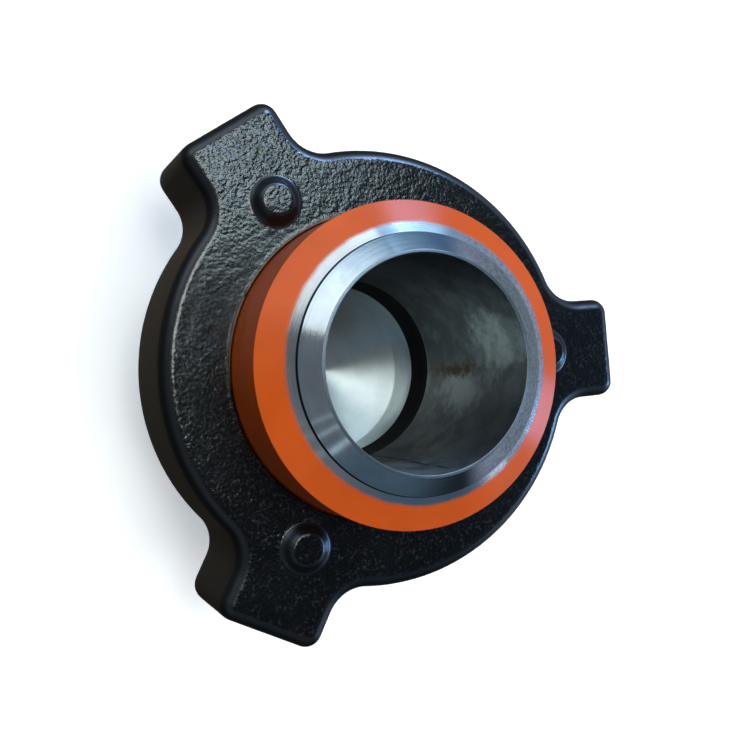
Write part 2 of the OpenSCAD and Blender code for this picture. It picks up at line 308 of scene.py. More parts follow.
def add_piece(name, grid, body, node, material, sharp=38):
    """Makes a piece from a grid of points, rows along the profile by columns round the axis.

    Points that fall together are made one, a four-sided face that lost a corner becomes a
    triangle, and one that lost two is left out, which closes the poles and the thread's seam.
    """
    rows, columns = grid.shape[:2]
    flat = grid.reshape(-1, 3)
    keys = np.round(flat / MERGE).astype(np.int64)
    _, first, same = np.unique(keys, axis=0, return_index=True, return_inverse=True)
    index = np.asarray(same).reshape(rows, columns)
    quads = np.stack([index[:-1, :-1], index[:-1, 1:], index[1:, 1:], index[1:, :-1]], axis=-1)
    quads = quads.reshape(-1, 4)
    kept = quads != np.roll(quads, 1, axis=1)
    crossed = (quads[:, 0] == quads[:, 2]) | (quads[:, 1] == quads[:, 3])
    sides = kept.sum(axis=1)
    fours = quads[(sides == 4) & ~crossed]
    threes = quads[sides == 3][kept[sides == 3]].reshape(-1, 3)
    mesh = bpy.data.meshes.new(name)
    mesh.from_pydata(flat[first].tolist(), [], fours.tolist() + threes.tolist())
    mesh.validate()
    mesh.shade_smooth()
    mesh.set_sharp_from_angle(angle=math.radians(sharp))
    mesh.materials.append(material)
    piece = bpy.data.objects.new(name, mesh)
    bpy.context.scene.collection.objects.link(piece)
    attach(piece, body)
    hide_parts(node)
    return piece


# ------------------------------------------------------------------------------- finishes


def shaded(tint, part):
    """A tint with each of its numbers times the same part."""
    return tuple(part * c for c in tint)


class Value:
    """A number that varies over a surface. Its operators add Math nodes."""

    def __init__(self, finish, socket):
        self.finish, self.socket = finish, socket

    def math(self, operation, *terms):
        """A Math node's result for one or two values or plain numbers."""
        node = self.finish.node("ShaderNodeMath", {"operation": operation},
                                dict(enumerate(terms)))
        return Value(self.finish, node.outputs[0])

    def __add__(self, other):
        return self.math("ADD", self, other)

    __radd__ = __add__

    def __sub__(self, other):
        return self.math("SUBTRACT", self, other)

    def __rsub__(self, other):
        return self.math("SUBTRACT", other, self)

    def __mul__(self, other):
        return self.math("MULTIPLY", self, other)

    __rmul__ = __mul__

    def __truediv__(self, other):
        return self.math("DIVIDE", self, other)

    def __rtruediv__(self, other):
        return self.math("DIVIDE", other, self)

    def __pow__(self, other):
        return self.math("POWER", self, other)

    def __rpow__(self, other):
        return self.math("POWER", other, self)

    def over(self, low, high):
        """Runs smoothly from 0 to 1 while the value runs from low to high."""
        node = self.finish.node("ShaderNodeMapRange", {"interpolation_type": "SMOOTHSTEP"},
                                {"Value": self, "From Min": low, "From Max": high})
        return Value(self.finish, node.outputs[0])

    def under(self, low, high):
        """Runs smoothly from 1 to 0 while the value runs from low to high."""
        return 1.0 - self.over(low, high)


class Finish:
    """The node tree of a material, on Object coordinates, or of the studio round it."""

    def __init__(self, owner, place="Object", output="ShaderNodeOutputMaterial"):
        owner.use_nodes = True
        self.owner, self.tree = owner, owner.node_tree
        self.tree.nodes.clear()
        self.output = self.node(output)
        self.place = self.node("ShaderNodeTexCoord").outputs[place]
        split = self.node("ShaderNodeSeparateXYZ", inputs={0: self.place})
        self.x, self.y, self.z = (Value(self, split.outputs[i]) for i in range(3))
        self.radius = (self.x * self.x + self.y * self.y) ** 0.5
        self.bearing = self.y.math("ARCTAN2", self.y, self.x)

    def node(self, kind, settings=None, inputs=None):
        """Adds a node: its settings first, then a value or a link for each named socket."""
        node = self.tree.nodes.new(kind)
        for key, setting in (settings or {}).items():
            setattr(node, key, setting)
        for key, given in (inputs or {}).items():
            given = given.socket if isinstance(given, Value) else given
            if isinstance(given, bpy.types.NodeSocket):
                self.tree.links.new(given, node.inputs[key])
            else:
                node.inputs[key].default_value = given
        return node

    def noise(self, scale, detail=3.0, rough=0.5):
        """Noise from 0 to 1, with about scale waves to a metre."""
        node = self.node("ShaderNodeTexNoise", {"noise_dimensions": "3D"}, {
            "Vector": self.place, "Scale": scale, "Detail": detail, "Roughness": rough})
        return Value(self, node.outputs["Fac"])

    def streaks(self, along, scale, detail=2.0, rough=0.6):
        """Noise that varies with one value only, as lines left by a tool do."""
        node = self.node("ShaderNodeTexNoise", {"noise_dimensions": "1D"}, {
            "W": along, "Scale": scale, "Detail": detail, "Roughness": rough})
        return Value(self, node.outputs["Fac"])

    def turning(self, scale, detail=2.0, rough=0.6):
        """Turned lines: rings on a flat end and lines round a side."""
        return self.streaks(self.radius + self.z * LINE_SLOPE, scale, detail, rough)

    def spot(self, radius, bearing, height, wide, tall, scale, rough, ragged):
        """How far out a point of a bore lies from a spot's middle: 1 is the spot's edge.

        It is the root of (across / wide)^2 + (along / tall)^2, plus noise from -ragged / 2 to
        ragged / 2. Across is the arc from the spot's bearing, and along is the height from it.
        """
        across = (self.bearing - bearing) * (radius / wide)
        along = (self.z - height) / tall
        edge = (self.noise(scale, 5.0, rough) - 0.5) * ragged
        return (across * across + along * along) ** 0.5 + edge

    def facing_up(self):
        """How far the surface faces up the axis, from -1 to 1."""
        geometry = self.node("ShaderNodeNewGeometry")
        split = self.node("ShaderNodeSeparateXYZ", inputs={0: geometry.outputs["Normal"]})
        return Value(self, split.outputs[2])

    def mix(self, share, first, second):
        """The first colour, or the second where share is 1."""
        node = self.node("ShaderNodeMix", {"data_type": "RGBA"}, {"Factor": share})
        for key, given in ((6, first), (7, second)):
            if isinstance(given, bpy.types.NodeSocket):
                self.tree.links.new(given, node.inputs[key])
            else:
                node.inputs[key].default_value = (*given, 1.0)
        return node.outputs[2]

    def bump(self, height, depth):
        """A normal tilted by a height from 0 to 1 that stands for depth metres."""
        return self.node("ShaderNodeBump", inputs={
            "Height": height, "Distance": depth, "Strength": 1.0}).outputs[0]

    def shader(self, **inputs):
        """The principled shader, from socket names with _ for each space."""
        named = {key.replace("_", " "): given for key, given in inputs.items()}
        return self.node("ShaderNodeBsdfPrincipled", inputs=named).outputs[0]

    def done(self, surface):
        """Puts the surface on the output and gives back the material or world."""
        self.tree.links.new(surface, self.output.inputs["Surface"])
        return self.owner


def new_finish(name):
    """An empty finish with this name."""
    return Finish(bpy.data.materials.new(name))


def black_casting(colours, nut):
    """Gloss black paint: sand grain on the faces, smooth on rounded edges and sides.

    The grain is fine noise with wider pits, in patches. It is deepest towards the end of one
    lug, and calmer on the side of the face away from X. Dust lies on the tops of the grain, and
    the paint is worn off the edge of the hole over a part of its round.
    """
    f = new_finish("black_casting")
    grain_depth = 0.29 * MM
    dust_grey, bare_edge = (0.015, 0.0165, 0.017), (0.28, 0.20, 0.13)
    lug_x, lug_y = -0.5, 0.866

    flat = f.facing_up().over(0.95, 0.995)
    grain = f.noise(780.0, 2.3, 0.45)
    pits = f.noise(420.0, 2.0, 0.5).over(0.34, 0.62)
    patchy = f.noise(75.0, 3.0, 0.6).over(0.36, 0.64)
    rugged = (f.y * lug_y + f.x * lug_x).over(64 * MM, 88 * MM)
    calm = (-20 * MM - f.x).over(-10 * MM, 30 * MM) * f.y.over(-34 * MM, -4 * MM) \
        * (1.0 - rugged)
    depth = (0.44 + 0.32 * patchy + 0.60 * rugged) * (1.0 - 0.55 * calm)
    height = (grain * 0.75 + pits * 0.25) * (flat * 0.90 + 0.10) * depth

    tint = f.mix(f.noise(45.0, 2.0, 0.5).over(0.4, 0.65), colours.black,
                 shaded(colours.black, 1.6))
    dust = grain.over(0.52, 0.66) * f.noise(240.0, 3.0, 0.6).over(0.42, 0.60) * flat
    tint = f.mix(dust * 0.8, tint, dust_grey)
    worn = f.radius.under(nut.hole_radius + 0.3 * MM, nut.hole_radius + 0.9 * MM) \
        * f.noise(120.0, 4.0, 0.6).over(0.36, 0.52) * f.y.over(-10 * MM, 30 * MM) \
        * f.facing_up().over(0.2, 0.6)
    tint = f.mix(worn, tint, bare_edge)
    return f.done(f.shader(
        Base_Color=tint, Roughness=0.33 - flat * 0.14 + (grain - 0.5) * 0.12,
        Normal=f.bump(height, grain_depth), Specular_IOR_Level=0.5))


def bore_tint(f, colours, sub):
    """Dull steel of the bore.

    It has blotches, two patches of painted light, two areas of painted shade, a stain and a few
    long scores.
    """
    dull, bore = colours.bore_steel, sub.bore_radius
    blotch = f.noise(46.0, 6.0, 0.72).over(0.40, 0.62)
    tint = f.mix(blotch, shaded(dull, 0.36), shaded(dull, 0.72))
    # Painted light: two lighter patches stand in for light that the bore wall catches.
    painted_light_upper = f.spot(bore, 0.17, 121 * MM, 9 * MM, 19 * MM, 95.0, 0.7, 2.6)
    tint = f.mix(painted_light_upper.under(0.60, 1.45) * (0.35 + 0.65 * blotch), tint, shaded(dull, 1.7))
    painted_light_lower = f.spot(bore, -0.34, 93 * MM, 8 * MM, 17 * MM, 95.0, 0.7, 3.2)
    tint = f.mix(painted_light_lower.under(0.30, 1.60) * 0.8, tint, shaded(dull, 1.5))
    # Painted shade: the wall towards Y, and a band of the upper wall towards minus Y, are
    # darkened where little light reaches.
    painted_shade_towards_y = f.bearing.over(0.6, 1.3) * f.bearing.under(2.3, 3.0)
    tint = f.mix(painted_shade_towards_y * 0.75, tint, shaded(dull, 0.12))
    painted_shade_towards_minus_y = f.bearing.over(-1.6, -1.0) * f.bearing.under(-0.6, -0.15) \
        * f.z.over(92 * MM, 125 * MM)
    tint = f.mix(painted_shade_towards_minus_y * 0.6, tint, shaded(dull, 0.15))
    stain = f.spot(bore, sub.brown_angle, sub.brown_height, 2.7 * MM, 20 * MM, 230.0, 0.75, 3.4)
    tint = f.mix(stain.under(0.30, 1.45), tint, colours.stain)
    waver = (f.noise(60.0, 3.0, 0.6) - 0.5) * 0.16
    scores = f.streaks(f.bearing + waver, 9.0, 3.0).over(0.56, 0.64) \
        * f.bearing.over(-1.52, -1.40) * f.bearing.under(-1.24, -1.14) \
        * f.noise(90.0, 3.0, 0.6).over(0.38, 0.5) * f.z.under(124 * MM, 137 * MM)
    return f.mix(scores, tint, colours.grime_and_shade)


def weld_tint(f, steel):
    """Bright steel of the weld end: soft clouds, mottling on the side towards X, and rings."""
    tint = f.mix(f.noise(70.0, 4.0, 0.6).over(0.35, 0.7), steel, shaded(steel, 0.82))
    mottle = f.noise(760.0, 4.0, 0.7).over(0.42, 0.60) * f.x.over(8 * MM, 28 * MM)
    tint = f.mix(mottle * 0.6, tint, shaded(steel, 0.42))
    return f.mix(f.turning(1500.0, 3.0, 0.7).over(0.30, 0.44), shaded(steel, 0.86), tint)


def painted_sub(colours, sub):
    """Orange paint on the shoulder and hub, bright steel at the weld end, dull steel inside.

    The paint ends on a circle that stands a little off the axis, with a soft, wavering edge.
    A painted shadow darkens the corner under the weld bevel, and the land is darker than the
    bevel.
    """
    f = new_finish("painted_sub")
    tool_depth, paint_fade = 0.02 * MM, 0.9 * MM
    waver = (f.noise(160.0, 4.0, 0.6) - 0.5) * 1.2 * MM
    off_x = f.x - sub.mask_offset * math.cos(sub.mask_bearing)
    off_y = f.y - sub.mask_offset * math.sin(sub.mask_bearing)
    edge = (off_x * off_x + off_y * off_y) ** 0.5 + waver
    painted = edge.over(sub.paint_radius - paint_fade, sub.paint_radius + paint_fade)
    inside = f.radius.under(sub.bore_radius + 0.10 * MM, sub.bore_radius + 0.25 * MM)

    land_z = MALE_HIGH.z
    bevel_z = land_z - (sub.pipe_radius - sub.bore_radius - sub.land) * math.tan(sub.bevel)
    # Painted shadow: the corner under the weld bevel, where the step shades it, is painted dark.
    corner = f.radius.over(sub.pipe_radius - 0.12 * MM, sub.pipe_radius - 0.02 * MM) \
        * f.radius.under(sub.pipe_radius + 0.15 * MM, sub.pipe_radius + 0.50 * MM) \
        * f.z.under(bevel_z - 0.35 * MM, bevel_z - 0.10 * MM)
    land = f.z.over(land_z - 0.12 * MM, land_z - 0.04 * MM) * (1.0 - inside)
    steel = f.mix(inside, weld_tint(f, colours.bright_steel), bore_tint(f, colours, sub))
    # Painted shadow in the corner under the weld bevel.
    steel = f.mix(corner, steel, colours.grime_and_shade)
    steel = f.mix(land * 0.8, steel, shaded(colours.bright_steel, 0.35))

    lines, fine = f.turning(5200.0), f.noise(900.0, 3.0, 0.6)
    steel_rough = 0.13 + inside * 0.30 + corner * 0.3 + land * 0.24 + (lines - 0.5) * 0.08
    metal = f.shader(
        Base_Color=steel, Metallic=1.0 - inside * 0.10, Roughness=steel_rough, Anisotropic=0.5,
        Anisotropic_Rotation=0.25, Normal=f.bump(lines * 0.8 + fine * 0.2, tool_depth))
    orange = f.mix(f.noise(55.0, 3.0, 0.5).over(0.3, 0.7), colours.orange,
                   shaded(colours.orange, 0.9))
    paint = f.shader(Base_Color=orange, Roughness=0.30 + (fine - 0.5) * 0.06, Anisotropic=0.9,
                     Anisotropic_Rotation=0.25, Specular_IOR_Level=0.28)
    both = f.node("ShaderNodeMixShader", inputs={0: painted, 1: metal, 2: paint})
    return f.done(both.outputs[0])


def turned_steel():
    """Turned steel: rings on the flats, lines round the sides."""
    f = new_finish("turned_steel")
    pale, dim, tool_depth = (0.74, 0.80, 0.81), (0.60, 0.66, 0.67), 0.02 * MM
    lines, fine = f.turning(2600.0), f.noise(700.0, 3.0, 0.6)
    return f.done(f.shader(
        Base_Color=f.mix(f.noise(60.0, 5.0, 0.65).over(0.35, 0.7), pale, dim),
        Metallic=0.94, Roughness=0.39 + (lines - 0.5) * 0.16,
        Anisotropic=1.0, Anisotropic_Rotation=0.25,
        Normal=f.bump(lines * 0.8 + fine * 0.2, tool_depth)))


def black_rubber(colours):
    """Matt moulded rubber with a fine skin."""
    f = new_finish("black_rubber")
    skin, skin_depth = f.noise(1400.0, 3.0, 0.6), 0.05 * MM
    tint = f.mix(f.noise(90.0, 3.0, 0.5).over(0.4, 0.7), colours.rubber,
                 shaded(colours.rubber, 1.8))
    return f.done(f.shader(Base_Color=tint, Roughness=0.75 + (skin - 0.5) * 0.2,
                           Normal=f.bump(skin, skin_depth), Specular_IOR_Level=0.2))


def pale_floor(colours):
    """Plain pale studio floor that glows a little, so that it stays pale in the shade."""
    f = new_finish("pale_floor")
    tint = f.mix(f.noise(3.0, 2.0, 0.5), colours.floor, shaded(colours.floor, 0.99))
    return f.done(f.shader(Base_Color=tint, Roughness=0.8, Emission_Color=(0.32, 0.31, 0.29, 1.0),
                           Emission_Strength=1.0))


# -------------------------------------------------------------------------------- pieces


def thread_zero(scene):
    """Height of a ridge's middle at bearing 0, its depth, and half its crest and its foot."""
    t, b = scene.union_thread, scene.union_blank
    crest_half = t.pitch * t.crest / 2
    depth = t.pitch / 2 + t.gap / 2
    foot = crest_half + depth * math.tan(t.flank)
    return b.plain + b.runout + foot, depth, crest_half, foot


class UNION_OT_blank_female_sub(bpy.types.Operator):
    """Build the closed sub: blind bottom, recess, seal pocket, conical seat, outside thread"""

    bl_idname = "union.blank_female_sub"
    bl_label = "Blank Female Sub"

    def execute(self, context):
        scene = context.scene
        b, s, m, t = scene.union_blank, scene.union_seal, scene.union_male, scene.union_thread
        crest, rim = BLANK_HIGH.x, BLANK_HIGH.z
        zero, depth, crest_half, foot = thread_zero(scene)
        core = crest - depth
        pocket = s.outer_radius + s.gap
        ball_z = MALE_LOW.z + math.sqrt(m.nose_radius**2 - m.nose_face**2)
        apex = ball_z - (m.nose_radius + scene.union_nut.collar_gap) / math.sin(b.seat_angle)
        seat_z = apex + pocket / math.tan(b.seat_angle)
        seat_rim = (rim - apex) * math.tan(b.seat_angle)
        groove_low = b.plain + 1.2 * MM
        mark_deep, mark_high = b.bottom - 0.15 * MM, b.bottom + 0.1 * MM
        e = 0.3 * MM  # radius of a broken edge
        outside = rounded([
            [0, 0, 0],
            [crest - b.back_chamfer, 0, 0.6 * MM],
            [crest, b.back_chamfer, 0.6 * MM],
            [crest, b.plain - 1 * MM, e],
            [crest - 1 * MM, b.plain, e],
            [core, b.plain, 0.8 * MM],
            [core, groove_low, 0],
        ])
        a = np.linspace(0.0, TURN, BLANK_SIDES + 1)
        high = rim - b.rim_bevel - 0.4 * MM
        r, z = thread_rows(t, a, core, crest, crest_half, zero, b.plain + 1.4 * MM, high,
                           zero, rim - b.rim_bevel - foot)
        within = rounded([
            [core, rim - b.rim_bevel - 0.3 * MM, 0],
            [core, rim - b.rim_bevel, e],
            [core - b.rim_bevel, rim, e],
            [seat_rim, rim, e],
            [pocket, seat_z, e],
            [pocket, SEAL_LOW.z + s.bead_height + s.gap, e],
            [pocket + s.bead, SEAL_LOW.z + s.bead_height + s.gap, e],
            [pocket + s.bead, SEAL_LOW.z, e],
            [m.bore_radius, SEAL_LOW.z, 0.2 * MM],
            [m.bore_radius, b.bottom + b.recess_bevel, 0.12 * MM],
            [m.bore_radius - b.recess_bevel, b.bottom, 0.15 * MM],
            [b.centre_mark * 2, b.bottom, 0.2 * MM],
            [b.centre_mark * 1.9, mark_deep, 0.2 * MM],
            [b.centre_mark, mark_deep, 0.2 * MM],
            [b.centre_mark * 0.8, mark_high, 0.2 * MM],
            [0, b.bottom + 0.12 * MM, 0],
        ])
        grid = np.concatenate([
            around(outside[:, :1], outside[:, 1:], a[None]),
            around(r, z, a[None]),
            around(within[:, :1], within[:, 1:], a[None]),
        ])
        grid[:, -1] = around_seam(grid)
        add_piece("blank_sub_turned", grid, "blank_end", "blank_female_sub",
                  turned_steel())
        return {"FINISHED"}


def around_seam(grid):
    """The last column's points, at their own radius and height and the first column's bearing."""
    last = grid[:, -1].copy()
    size = np.hypot(last[:, 0], last[:, 1])
    way = grid[:, 0] / np.maximum(np.hypot(grid[:, 0, 0], grid[:, 0, 1]), 1e-12)[:, None]
    wide = np.hypot(way[:, 0], way[:, 1]) > 0.5
    aim = way[wide][0]
    last[:, 0], last[:, 1] = size * aim[0], size * aim[1]
    return last


class UNION_OT_seal_ring(bpy.types.Operator):
    """Build the lip seal ring that sits in the blank sub's pocket"""

    bl_idname = "union.seal_ring"
    bl_label = "Seal Ring"

    def execute(self, context):
        scene = context.scene
        s, m = scene.union_seal, scene.union_male
        low, high = SEAL_LOW.z, SEAL_HIGH.z
        lip, bead, e = m.bore_radius - s.lip, s.outer_radius + s.bead, 0.4 * MM
        profile = rounded([
            [lip, low + 1 * MM, e],
            [lip + 1 * MM, low, e],
            [bead, low, e],
            [bead, low + s.bead_height - s.bead, e],
            [s.outer_radius, low + s.bead_height, e],
            [s.outer_radius, high - 1 * MM, e],
            [s.outer_radius - 1 * MM, high, e],
            [m.bore_radius + 0.5 * MM, high, 0.2 * MM],
            [m.bore_radius, high - 0.5 * MM, 0.2 * MM],
            [m.bore_radius, high - (high - low) / 4, 3 * MM],
        ], closed=True)
        add_piece("seal_ring_moulded", turned(profile, SEAL_SIDES), "blank_end", "seal_ring",
                  black_rubber(scene.union_colours))
        return {"FINISHED"}


class UNION_OT_male_sub(bpy.types.Operator):
    """Build the butt-weld sub: ball nose, collar, hub, shoulder cone and weld bevel"""

    bl_idname = "union.male_sub"
    bl_label = "Male Sub"

    def execute(self, context):
        scene = context.scene
        m = scene.union_male
        nose_z, land_z, collar_r = MALE_LOW.z, MALE_HIGH.z, MALE_HIGH.x
        collar_z = nose_z + m.nose
        shoulder_z = collar_z + m.collar + collar_r - m.hub_radius
        bevel_z = land_z - (m.pipe_radius - m.bore_radius - m.land) * math.tan(m.bevel)
        step_z = bevel_z - m.step
        cone_z = step_z - (m.hub_radius - m.pipe_radius) * math.tan(m.shoulder)
        ball_z = nose_z + math.sqrt(m.nose_radius**2 - m.nose_face**2)
        tilt = np.linspace(math.asin((nose_z - ball_z) / m.nose_radius),
                           math.asin((collar_z - ball_z) / m.nose_radius), 18)[1:-1]
        ball = np.stack([m.nose_radius * np.cos(tilt), ball_z + m.nose_radius * np.sin(tilt),
                         0 * tilt], axis=1)
        collar_foot = math.sqrt(m.nose_radius**2 - (collar_z - ball_z) ** 2)
        e = 0.25 * MM  # radius of a broken edge
        profile = rounded(np.concatenate([
            [[m.bore_radius, nose_z, e], [m.nose_face, nose_z, e]],
            ball,
            [[collar_foot, collar_z, 0],
             [collar_r - 1 * MM, collar_z, e],
             [collar_r, collar_z + 1 * MM, e],
             [collar_r, collar_z + m.collar, e],
             [m.hub_radius, shoulder_z, 0.6 * MM],
             [m.hub_radius, cone_z, 0.35 * MM],
             [m.pipe_radius, step_z, 0.2 * MM],
             [m.pipe_radius, bevel_z, 0.12 * MM],
             [m.bore_radius + m.land, land_z, 0.10 * MM],
             [m.bore_radius, land_z, 0.12 * MM]],
        ]), closed=True)
        add_piece("male_sub_turned", turned(profile, MALE_SIDES), "male_end", "male_sub",
                  painted_sub(scene.union_colours, m))
        return {"FINISHED"}


def arc(centre_x, centre_y, radius, start, end, steps):
    """Points from start to end bearing, in degrees, round a centre; one row for each inset."""
    a = np.linspace(np.radians(start), np.radians(end), steps).T
    return np.stack([centre_x + radius * np.cos(a), centre_y + radius * np.sin(a)], axis=-1)


def nut_outline(n, lug_reach, inset):
    """The nut's outline moved in by each inset: shape insets by columns by 2.

    One lug's share is the hollow, the flank, the corner, the tip, the corner, the flank, the
    hollow and the body's arc up to the next lug, turned by each lug's bearing. A hollow is an
    arc that touches the flank and the body: its centre stands root radius off both.
    """
    inset = np.asarray(inset, float)[:, None]
    body = n.body_radius - inset
    half = n.lug_width / 2 - inset
    root = n.root_radius + inset
    back = n.corner_radius + n.edge_radius + n.draft
    corner = back - inset
    cx, cy = lug_reach - back, n.lug_width / 2 - back
    root_x = np.sqrt((body + root) ** 2 - (half + root) ** 2)
    root_a = np.degrees(np.arctan2(half + root, root_x))
    ones = np.ones_like(inset)

    def straight(x0, y0, x1, y1, count):
        """Points on the straight between two points, both ends left out."""
        t = np.linspace(0, 1, count + 2)[None, 1:-1]
        return np.stack([x0 + (x1 - x0) * t, y0 + (y1 - y0) * t], axis=-1)

    hollow_steps, corner_steps, body_steps = 13, 7, 68
    flank_steps, tip_steps = 14, 26
    step = 360 / n.lug_count
    lug = np.concatenate([
        arc(root_x, -half - root, root, (180 - root_a)[:, 0], 90 * ones[:, 0],
            hollow_steps),
        straight(root_x, -half, cx * ones, -cy - corner, flank_steps),
        arc(cx * ones, -cy * ones, corner, -90 * ones[:, 0], 0 * ones[:, 0], corner_steps),
        straight(cx + corner, -cy * ones, cx + corner, cy * ones, tip_steps),
        arc(cx * ones, cy * ones, corner, 0 * ones[:, 0], 90 * ones[:, 0], corner_steps),
        straight(cx * ones, cy + corner, root_x, half, flank_steps),
        arc(root_x, half + root, root, 270 * ones[:, 0], (180 + root_a)[:, 0],
            hollow_steps),
        arc(0 * ones, 0 * ones, body, root_a[:, 0], (step - root_a)[:, 0],
            body_steps)[:, 1:-1],
    ], axis=1)
    turns = np.radians(np.arange(n.lug_count) * step)[:, None, None]
    x, y = lug[None, ..., 0], lug[None, ..., 1]
    whole = np.stack([x * np.cos(turns) - y * np.sin(turns),
                      x * np.sin(turns) + y * np.cos(turns)], axis=-1)
    whole = np.concatenate(list(whole), axis=1)
    return np.concatenate([whole, whole[:, :1]], axis=1)


class UNION_OT_wing_nut(bpy.types.Operator):
    """Build the cast wing nut: lugs, rounded edges, bosses, inside thread and collar seat"""

    bl_idname = "union.wing_nut"
    bl_label = "Wing Nut"

    def execute(self, context):
        scene = context.scene
        n, t = scene.union_nut, scene.union_thread
        zero, depth, crest_half, _ = thread_zero(scene)
        back, face = NUT_LOW.z, NUT_HIGH.z - n.boss_height
        groove = BLANK_HIGH.x + t.gap
        inner = BLANK_HIGH.x - depth + t.gap
        relief_r = groove + t.gap
        collar_r = MALE_HIGH.x + n.collar_gap
        lip_z = face - n.lip
        cone_z = lip_z + n.hole_radius - collar_r
        relief_top = cone_z - n.collar_bore
        relief_low = relief_top - n.relief
        thread_low = back + n.mouth

        q = np.radians(np.linspace(0, 90, 11))
        rise, inset = n.edge_radius * (1 - np.cos(q)), n.edge_radius * (1 - np.sin(q))
        wall = np.linspace(0, 1, 8)[1:-1]
        wall_low, wall_high = back + n.edge_radius, face - n.edge_radius
        z = np.concatenate([back + rise, wall_low + (wall_high - wall_low) * wall,
                            (face - rise)[::-1]])
        side = np.concatenate([inset, n.draft * wall, (n.draft + inset)[::-1]])
        outline = nut_outline(n, NUT_HIGH.x, side)
        level = np.broadcast_to(z[:, None, None], (*outline.shape[:2], 1))
        outer = np.concatenate([outline, level], axis=-1)
        bearing = np.unwrap(np.arctan2(outline[-1, :, 1], outline[-1, :, 0]))
        bearing[-1] = bearing[0] + TURN
        a = bearing[None]

        def band(start, end, count, height):
            """Flat rows from one ring of points to another, both ends left out."""
            s = np.linspace(0, 1, count + 2)[1:-1, None, None]
            flat = start[None, :, :2] * (1 - s) + end[None, :, :2] * s
            return np.concatenate([flat, np.full((*flat.shape[:2], 1), height)], axis=-1)

        e = 0.5 * MM  # radius of the edges of the hole and the mouth
        hole_edge = around(np.array([[n.hole_radius + e]]), np.array([[face]]), a)[0]
        front = band(outer[-1], hole_edge, 76, face)
        mouth_edge = around(np.array([[relief_r + e]]), np.array([[back]]), a)[0]
        base = band(mouth_edge, outer[0], 10, back)
        within = rounded([
            [n.hole_radius + 3 * e, face, 0],
            [n.hole_radius, face, e],
            [n.hole_radius, lip_z, 0.2 * MM],
            [collar_r, cone_z, 0.3 * MM],
            [collar_r, relief_top, 0.3 * MM],
            [relief_r, relief_top, 0.3 * MM],
            [relief_r, relief_low, 0.3 * MM],
            [inner + 2 * MM, relief_low, 0],
        ])[2:]
        r, tz = thread_rows(t, bearing, inner, groove, crest_half + t.gap, zero,
                            thread_low, relief_low)
        mouth = rounded([
            [inner + 2 * MM, thread_low, 0],
            [relief_r, thread_low, 0.3 * MM],
            [relief_r, back, e],
            [relief_r + 3 * e, back, 0],
        ])[:-2]
        grid = np.concatenate([
            base, outer, front,
            around(within[:-1, :1], within[:-1, 1:], a),
            around(r[::-1], tz[::-1], a),
            around(mouth[1:, :1], mouth[1:, 1:], a),
        ])
        grid = np.concatenate([grid, grid[:1]])
        grid = self.cast(grid, n, face)
        grid[:, -1, :2] = around_seam(grid)[:, :2]
        add_piece("wing_nut_cast", grid, "nut", "wing_nut",
                  black_casting(scene.union_colours, n), sharp=40)
        return {"FINISHED"}

    @staticmethod
    def cast(grid, n, face):
        """Raises the bosses and the mould's low waves out of the flat front face.

        A boss is a height that runs smoothly from 0 at its foot to its full height at its top,
        by distance from its centre, and the waves fade out towards the hole.
        """
        x, y, z = grid[..., 0], grid[..., 1], grid[..., 2]
        on_face = np.abs(z - face) < 0.02 * MM
        lift = np.zeros_like(z)
        for k in range(n.lug_count):
            b = TURN * k / n.lug_count
            off = np.hypot(x - n.boss_reach * math.cos(b), y - n.boss_reach * math.sin(b))
            lift += n.boss_height * smooth(-off, -n.boss_foot, -n.boss_top)
        rough = n.grain * waves(grid, WAVE_SIZE, WAVE_SEED)
        clear = smooth(np.hypot(x, y), n.hole_radius + 0.6 * MM, n.hole_radius + 2 * MM)
        raised = grid.copy()
        raised[..., 2] += np.where(on_face, lift + rough * clear - n.grain, 0.0) * clear
        return raised


FLOOR_HALF = 4.0
BACKDROP = (0.86, 0.87, 0.88, 1.0)

PANEL_DISTANCE, PANEL_AIM = 2.0, 0.1
# Name, bearing and height in degrees, width, depth, brightness, tint
PANELS = (
    ("sky_window", 113, 39, 2.3, 0.95, 1.65, (0.93, 0.98, 1.0)),
    ("blue_window", 64, 24, 0.95, 0.34, 1.2, (0.53, 0.78, 1.0)),
    ("sheen_far", 58, 37, 0.50, 0.36, 60.0, (0.34, 0.56, 1.0)),
    ("sheen_near", -15, 20, 0.50, 0.36, 38.0, (0.24, 0.52, 1.0)),
    ("side_window", -38, 12, 0.30, 0.30, 0.85, (0.9, 0.95, 1.0)),
    ("strip_a", -139, 34, 0.07, 0.9, 0.55, (0.75, 0.9, 1.0)),
    ("strip_b", -127, 31, 0.11, 0.9, 0.75, (0.75, 0.9, 1.0)),
    ("strip_c", -148, 35, 0.05, 0.9, 0.45, (0.75, 0.9, 1.0)),
)
# Name, place, width, depth, brightness, tint
LEVELS = (
    ("overhead", (0.34, 0.63, 1.8), 0.58, 0.52, 10.5, (0.70, 0.92, 1.0)),
    ("bore_light", (-0.15, 0.34, 1.8), 0.40, 0.58, 11.0, (0.93, 1.0, 1.0)),
    ("key", (0.50, -0.22, 1.9), 1.3, 1.3, 5.2, (1.0, 0.97, 0.93)),
)
ONLY_GLOSS = ("sheen_far", "sheen_near", "overhead")
NO_GLOSS = ("key",)

VIEW_LENS, VIEW_SENSOR, VIEW_SHIFT = 43.7745, 36.0, (-0.03106, -0.02518)
VIEW_PLACE = (-0.130776, 0.002933, 0.412533)
VIEW_TURN = (2.12986, -23.53828, -5.36239)


